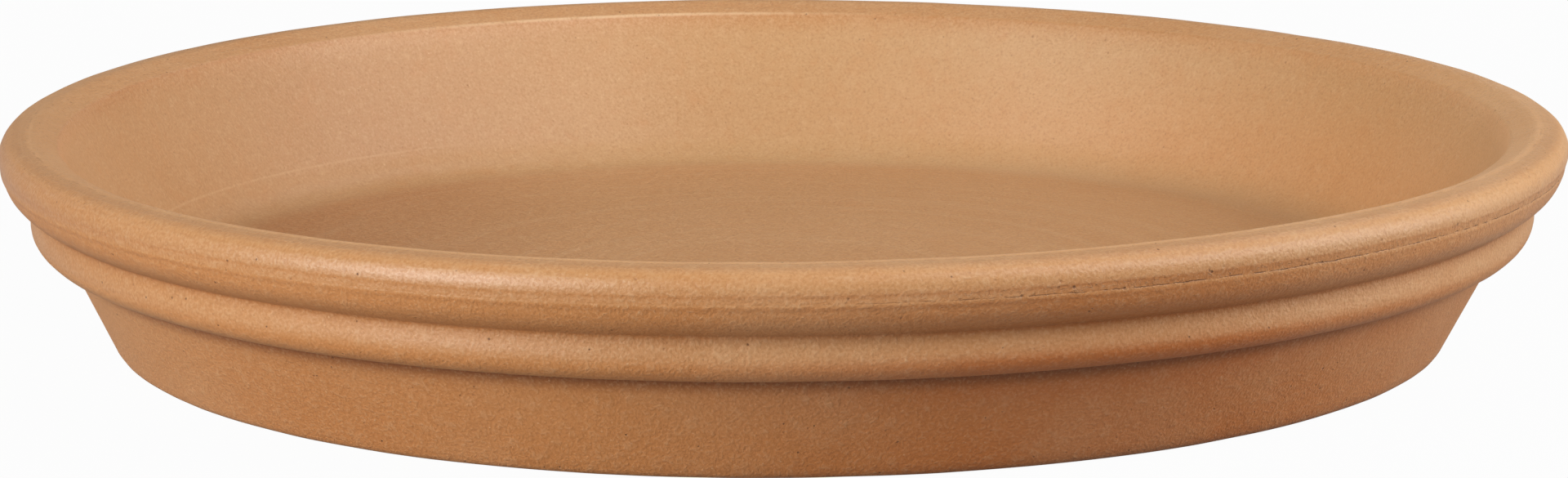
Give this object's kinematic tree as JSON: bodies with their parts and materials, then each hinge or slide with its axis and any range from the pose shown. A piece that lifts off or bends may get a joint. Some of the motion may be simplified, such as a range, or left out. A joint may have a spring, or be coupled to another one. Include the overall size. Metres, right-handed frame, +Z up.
{
  "type": "plant saucer",
  "caption": "Round terracotta plant saucer with a flat floor, a flared wall, a bead and a rolled rim, to stand under a flower pot and hold the water that drains from it.",
  "frame": {"origin": "centre of the standing plane, on the saucer's axis", "axes": "+Z up along the saucer's axis, towards the open side; X and Y are free, the form is round"},
  "size_m": [0.31, 0.31, 0.043],
  "materials": {
    "terracotta": "unglazed fired clay, matt, fine grained with small pits and a mould seam"
  },
  "bodies": {
    "root": {"saucer": "terracotta"}
  },
  "joints": []
}
